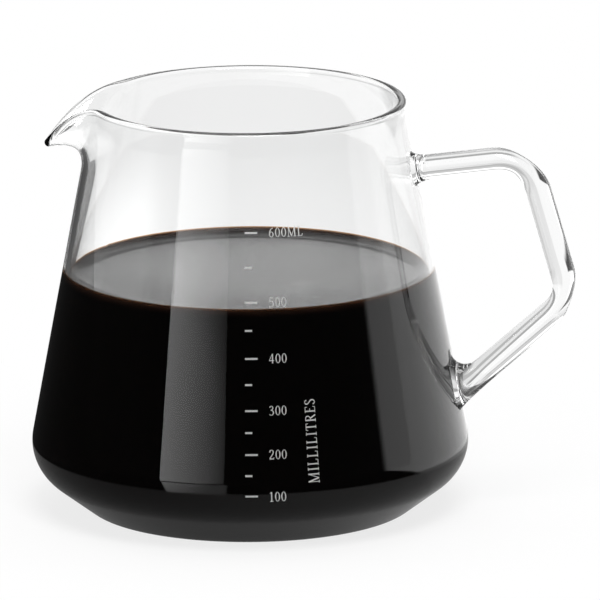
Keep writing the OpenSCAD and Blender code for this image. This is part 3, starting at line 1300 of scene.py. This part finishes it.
@dataclass(frozen=True)
class Softbox:
    """A rectangular studio lamp that faces the jug.

    Attributes:
        name: Its name.
        azimuth: Degrees from the camera, to the right.
        distance: Metres from the jug's axis to its middle.
        height: Metres of its middle above the floor.
        size: Its width and height in metres.
        radiance: How bright its face looks, where 1 is white.
        slope: How much brighter one side is than its middle, as a share. 0 is an even face.
        upper: Where it has a slope, how bright it is above its lowest quarter, as a share.
        step: Shares of its height between which that change happens.
        faces_z: Metres of the point on the jug's axis that it faces.
    """

    name: str
    azimuth: float
    distance: float
    height: float
    size: tuple
    radiance: float
    slope: float = 0.0
    upper: float = 1.0
    step: tuple = (0.215, 0.25)
    faces_z: float = 0.055

    def place(self, camera_azimuth: float) -> bpy.types.Object:
        """Puts the lamp into the scene.

        Args:
            camera_azimuth: Degrees of the camera's side about the jug's axis.

        Returns:
            The lamp's object.
        """
        lamp = bpy.data.lights.new(self.name, "AREA")
        lamp.shape = "RECTANGLE"
        lamp.size, lamp.size_y = self.size
        lamp.energy = self.radiance * math.pi * self.size[0] * self.size[1]
        if self.slope:
            g = Graph(lamp)
            spot = g.add("ShaderNodeNewGeometry").outputs["Parametric"]
            spot = g.add("ShaderNodeSeparateXYZ", {0: spot}).outputs
            ends = {"To Min": 1 + self.slope, "To Max": 1 - self.slope}
            across = g.add("ShaderNodeMapRange", {"Value": spot["X"], **ends}).outputs["Result"]
            up = g.fade(spot["Y"], *self.step, (1.0, self.upper))
            face = g.add("ShaderNodeEmission", {"Strength": g.times(across, up)})
            g.add("ShaderNodeOutputLight", {"Surface": face.outputs["Emission"]})
        piece = bpy.data.objects.new(self.name, lamp)
        piece.visible_camera = False
        way = turned(camera_azimuth + self.azimuth)
        piece.location = (way[0] * self.distance, way[1] * self.distance, self.height)
        towards = Vector((0, 0, self.faces_z)) - piece.location
        piece.rotation_mode = "QUATERNION"
        piece.rotation_quaternion = towards.to_track_quat("-Z", "Y")
        bpy.context.scene.collection.objects.link(piece)
        return piece


@dataclass
class Studio:
    """The pale floor, the bright room behind the jug, the lamps and the camera.

    Attributes:
        camera_turn: Degrees that the camera stands to the right of -Y.
        elevation: Degrees that it looks down.
        roll: Degrees about its line of sight.
        distance: Metres from it to the point aimed at.
        lens: Its focal length in millimetres.
        aim: That point: metres right and up in the picture, from a height on the jug's axis.
        floor_half: Half of the floor's width in metres.
        floor_cells: Cells of the floor's grid along each side.
        right_edge: Degrees from the camera between which the bright right side begins.
        lamps: The studio lamps.
    """

    camera_turn: float = 8.0
    elevation: float = 13.47
    roll: float = -0.35
    distance: float = 4.128
    lens: float = 960.0
    aim: tuple = (0.01307, -0.01004, 0.0645)
    floor_half: float = 6.0
    floor_cells: int = 8
    right_edge: tuple = (73.0, 78.0)
    lamps: tuple = (
        Softbox("left_strip", -30.4, 1.0, 0.4, (0.67, 0.84), 1.68, slope=0.78, upper=0.68),
        Softbox("overhead", 180.0, 0.25, 1.5, (1.2, 1.2), 1.2),
        Softbox("front_high", 10.0, 0.8, 1.3, (0.7, 0.7), 10.0),
    )

    def axes(self) -> tuple[np.ndarray, np.ndarray, np.ndarray]:
        """The camera's right, up and back directions, before its roll.

        Returns:
            Three unit vectors.
        """
        a, e = math.radians(self.camera_turn), math.radians(self.elevation)
        back = np.array([math.sin(a) * math.cos(e), -math.cos(a) * math.cos(e), math.sin(e)])
        right = np.array([math.cos(a), math.sin(a), 0.0])
        return right, np.cross(back, right), back

    def camera(self) -> bpy.types.Object:
        """A long lens at the viewing angle, turned by the roll about its own line of sight.

        Returns:
            The camera's object.
        """
        right, up, back = self.axes()
        centre = np.array([0, 0, self.aim[2]]) + self.aim[0] * right + self.aim[1] * up
        c, s = math.cos(math.radians(self.roll)), math.sin(math.radians(self.roll))
        data = bpy.data.cameras.new("camera")
        data.lens, data.sensor_width = self.lens, 36.0
        data.clip_start, data.clip_end = 0.1, 100.0
        piece = bpy.data.objects.new("camera", data)
        turn = Matrix(np.stack([c * right + s * up, c * up - s * right, back], axis=1).tolist())
        piece.matrix_world = Matrix.Translation(centre + back * self.distance) @ turn.to_4x4()
        bpy.context.scene.collection.objects.link(piece)
        bpy.context.scene.camera = piece
        return piece

    def plan(self) -> tuple[tuple, tuple]:
        """Level directions to the camera's right and away from it."""
        a = math.radians(self.camera_turn)
        return (math.cos(a), math.sin(a), 0.0), (-math.sin(a), math.cos(a), 0.0)

    def sight(self, g: Graph, place: Socket) -> tuple[Socket, Socket, Socket]:
        """Where a place or a direction lies from the jug's axis, as the camera sees it.

        Args:
            g: The node tree.
            place: The place or the direction.

        Returns:
            How far it lies to the right and away, and its degrees from the camera to the right.
        """
        right, away = self.plan()
        u, v = g.along(place, right), g.along(place, away)
        turn = g.chain("ARCTAN2", u, g.times(v, -1.0))
        return u, v, g.times(turn, math.degrees(1.0))

    def rays(self, g: Graph) -> tuple[Socket, Socket, Socket]:
        """1 for a ray from the camera, for one off a glossy face and for one through the glass.

        Args:
            g: The node tree.

        Returns:
            Three values, each 1 for its own kind of ray and 0 for the others.
        """
        path = g.add("ShaderNodeLightPath").outputs
        passed = path["Is Transmission Ray"]
        return path["Is Camera Ray"], g.times(path["Is Glossy Ray"], g.less(1.0, passed)), passed

    def floor(self) -> bpy.types.Object:
        """A level floor of a grid of points, pale and matt, with painted reflections and shade for
        the glass.

        Returns:
            The floor's object.
        """
        n = self.floor_cells
        x = np.linspace(-self.floor_half, self.floor_half, n + 1)
        points = np.stack(np.meshgrid(x, x, [0.0], indexing="ij"), axis=-1).reshape(-1, 3)
        corner = (np.arange(n)[:, None] * (n + 1) + np.arange(n)[None, :]).ravel()
        faces = np.stack([corner, corner + n + 1, corner + n + 2, corner + 1], axis=-1)
        data = bpy.data.meshes.new("floor")
        data.from_pydata(points.tolist(), [], faces.tolist())
        piece = bpy.data.objects.new("floor", data)
        bpy.context.scene.collection.objects.link(piece)
        data.materials.append(self.floor_finish())
        return piece

    def floor_finish(self) -> bpy.types.Material:
        """Pale matt paint that glows white to the camera, with painted reflections and shade for
        the glass.

        Returns:
            The material.
        """
        material = bpy.data.materials.new("pale_floor")
        g = Graph(material)
        place = g.add("ShaderNodeTexCoord").outputs["Object"]
        reach = g.add("ShaderNodeVectorMath", {0: place}, operation="LENGTH").outputs["Value"]
        u, v, turn = self.sight(g, place)
        seen, bounced, passed = self.rays(g)
        # painted reflections and painted shade, seen only by rays off or through the glass
        mirrored = g.times(bounced, self.mirrored(g, u, v, turn, reach))
        through = g.times(passed, self.through(g, u, v, reach))
        shown = g.times(seen, g.fade(reach, 0.05, 0.17, (0.8, 1.0)))
        matt = g.add("ShaderNodeBsdfDiffuse", {"Color": (0.92, 0.92, 0.92, 1.0)})
        white = g.add(
            "ShaderNodeEmission",
            {"Color": (1.0, 1.0, 1.0, 1.0), "Strength": g.plus(seen, mirrored, through)},
        )
        g.surface(g.mixed(g.plus(shown, bounced, passed), matt, white))
        return material

    def mirrored(self, g: Graph, u: Socket, v: Socket, turn: Socket, reach: Socket) -> Socket:
        """Painted reflections: how bright the floor glows to rays off the glass, dark but for four
        painted zones.

        Args:
            g: The node tree.
            u: Metres to the right of the jug's axis.
            v: Metres beyond it.
            turn: Degrees from the camera's side to the right.
            reach: Metres from the axis.

        Returns:
            The brightness, where 1 is white.
        """
        # painted reflection: the bright right side, laid on the floor
        right_side = g.times(
            g.fade(turn, *self.right_edge, (0.02, 1.4)), g.fade(reach, 0.085, 0.115, (0.04, 1.0))
        )
        # painted reflection: a bright zone behind the jug and to its left
        behind = g.times(g.fade(turn, -167.5, -163.5, (1.13, 0.0)), g.fade(reach, 0.12, 0.2))
        # painted shadow: dim floor by the foot, seen in the glass as the jug's shade
        painted_foot_shadow = g.times(g.fade(reach, 0.09, 0.1, FALL), g.fade(u, -0.06, 0.06, (0.17, 0.36)))
        # painted reflection that carries the left lamp's strip on down the heel
        painted_strip_reflection = g.times(
            g.fade(g.less(u, g.times(v, 1.106)), 0.036, 0.04),
            g.fade(g.less(u, g.times(v, 0.204)), 0.002, 0.006, FALL),
            g.fade(v, -0.05, -0.04, FALL),
            g.window(reach, 0.1, 0.45, 0.015),
            g.fade(turn, -48.0, -13.0, (2.4, 0.5)),
        )
        return g.plus(right_side, behind, painted_foot_shadow, painted_strip_reflection)

    def through(self, g: Graph, u: Socket, v: Socket, reach: Socket) -> Socket:
        """Painted shade: how bright the floor glows to rays through the glass, white, dimmed in
        painted dark zones.

        Args:
            g: The node tree.
            u: Metres to the right of the jug's axis.
            v: Metres beyond it.
            reach: Metres from the axis.

        Returns:
            The brightness, where 1 is white.
        """
        by_handle = g.fade(u, 0.03, 0.045)
        # painted shade: dark zones to the left and right, which darken the glass's edges
        left_painted_dark = g.dimmed(0.87, g.fade(u, -0.11, -0.104, FALL), g.window(v, 0.245, 0.75, 0.03))
        right_painted_dark = g.dimmed(0.15, g.fade(u, 0.1, 0.106), g.fade(v, 0.215, 0.245))
        # painted shade: dark strips on the handle's side, which show as lines in the rod
        painted_rod_lines = g.times(
            g.dimmed(0.2, by_handle, g.fade(v, 0.9, 1.3)),
            g.dimmed(0.2, by_handle, g.fade(v, 0.1, 0.112, FALL)),
            g.dimmed(0.65, by_handle, g.window(v, 0.112, 0.135, 0.013)),
            g.dimmed(0.4, by_handle, g.window(v, 0.055, 0.07, 0.008)),
        )
        # painted shade: a dark zone, which shows as a line along the far rim
        painted_rim_line = g.dimmed(
            0.95,
            g.window(u, -0.04, 0.02, 0.01),
            g.fade(v, 0.08, 0.09),
            g.fade(g.less(v, g.times(u, 1.35)), 0.15, 0.165, FALL),
        )
        # painted shade and light: the far floor a little darker, the near left floor a little
        # brighter
        far = g.dimmed(0.08, g.fade(v, 0.3, 0.46))
        near_left = g.dimmed(-0.23, g.fade(u, -0.044, -0.022, FALL), g.fade(v, 0.3, 0.46, FALL))
        # painted shadow around the foot
        painted_foot_shadow = g.fade(reach, 0.062, 0.08, (0.35, 1.0))
        return g.times(left_painted_dark, right_painted_dark, painted_rod_lines, painted_rim_line, far, near_left, painted_foot_shadow)

    def room(self) -> None:
        """The world: bright behind the jug and to its right, dark to its left and in front.

        Below eye level it shows to the glass alone, and through the glass the sky is brighter.
        """
        world = bpy.data.worlds.new("room")
        bpy.context.scene.world = world
        g = Graph(world)
        way = g.add("ShaderNodeTexCoord").outputs["Generated"]
        u, v, turn = self.sight(g, way)
        rise = g.along(way, (0.0, 0.0, 1.0))
        _, bounced, passed = self.rays(g)
        right_side = g.times(
            g.fade(turn, *self.right_edge, (0.03, 1.42)),
            g.dimmed(-0.3, g.fade(turn, 93.0, 96.0)),
            g.fade(turn, 135.0, 165.0, (1.0, 0.6)),
        )
        open_side = g.plus(v, g.chain("MAXIMUM", g.times(u, -0.5), 0.0))
        behind = g.times(passed, g.fade(open_side, -0.05, 0.2, (0.03, 1.0)))
        low = g.times(
            g.plus(behind, g.times(bounced, right_side)), g.fade(v, 0.955, 0.975, (1.0, 0.65))
        )
        panel = g.less(g.fade(rise, 0.17, 0.2, (0.0, 0.98)), g.fade(rise, 0.27, 0.31, (0.0, 0.94)))
        high = g.times(g.fade(v, -0.05, 0.2, (0.03, 1.0)), g.plus(panel, 0.78))
        lifted = g.fade(rise, 0.06, 0.09)
        bright = g.plus(g.times(high, lifted), g.times(low, g.less(1.0, lifted)))
        sky = g.fade(g.times(passed, rise), 0.36, 0.45, (1.0, 2.4))
        plain = g.add("ShaderNodeBackground", {"Strength": g.times(bright, sky)})
        g.add("ShaderNodeOutputWorld", {"Surface": plain.outputs["Background"]})

    def build(self) -> None:
        """Sets up the view, the floor, the room and the lamps."""
        bpy.context.scene.view_settings.view_transform = "Standard"
        self.camera()
        self.floor()
        self.room()
        for lamp in self.lamps:
            lamp.place(self.camera_turn - 90)


def main() -> None:
    """Builds the jug piece by piece, dresses each, and sets up the studio."""
    logging.basicConfig(level=logging.INFO, format="%(name)s: %(message)s")
    Studio().build()
    body = BlownBody()
    for maker in (body, RodHandle(body), Coffee(body), PrintedScale(body)):
        made = maker.build()
        maker.dress(made)
        pieces = made if isinstance(made, list) else [made]
        for piece in pieces:
            LOG.info("%s: %d faces", piece.name, len(piece.data.polygons))


if __name__ == "__main__":
    main()
